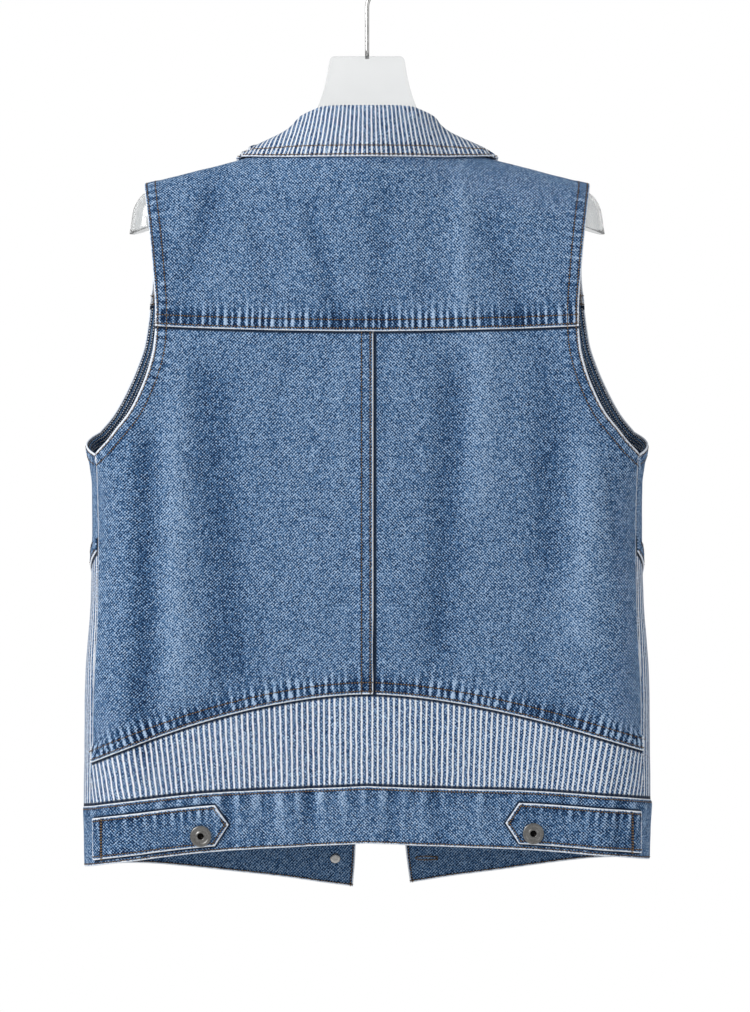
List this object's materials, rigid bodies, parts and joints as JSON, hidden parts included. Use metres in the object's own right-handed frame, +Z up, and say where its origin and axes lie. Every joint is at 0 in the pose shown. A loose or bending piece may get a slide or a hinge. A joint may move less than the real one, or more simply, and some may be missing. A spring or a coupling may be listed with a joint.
{
  "type": "denim vest on hanger",
  "caption": "Sleeveless denim vest with a folded collar, yokes, a waistband with buttoned side tabs and an open front, hung on a clear channel hanger with a wire hook.",
  "frame": {"origin": "inside of the hook's top, where the hanger bears on a rail", "axes": "+Z up, +X to the wearer's right, -Y the way the back of the vest faces; the rail runs along Y"},
  "size_m": [0.5068, 0.1047, 0.8486],
  "materials": {
    "denim": "washed blue twill with a pale worn edge at each seam",
    "striped_denim": "washed blue twill with narrow white stripes",
    "button_metal": "dull grey metal",
    "clear_plastic": "clear moulded plastic",
    "hook_steel": "bright wire"
  },
  "bodies": {
    "root": {"back_yoke": "denim", "back_panel_left": "denim", "back_panel_right": "denim", "back_hem_insert": "striped_denim", "waistband": "denim", "collar": "striped_denim", "front_yoke_left": "striped_denim", "front_yoke_right": "striped_denim", "front_chest_left": "denim", "front_chest_right": "denim", "front_lower_left": "striped_denim", "front_lower_right": "striped_denim", "placket_left": "denim", "placket_right": "denim", "armhole_facing_left": "denim", "armhole_facing_right": "denim", "tab_left": "denim", "tab_right": "denim", "tab_button_left": "button_metal", "tab_button_right": "button_metal", "front_button_1": "button_metal", "front_button_2": "button_metal", "front_button_3": "button_metal", "front_button_4": "button_metal", "front_button_5": "button_metal", "front_button_6": "button_metal", "front_tack_1": "button_metal", "front_tack_2": "button_metal", "front_tack_3": "button_metal", "front_tack_4": "button_metal", "front_tack_5": "button_metal", "front_tack_6": "button_metal", "hanger_body": "clear_plastic", "hanger_hook": "hook_steel"}
  },
  "joints": []
}
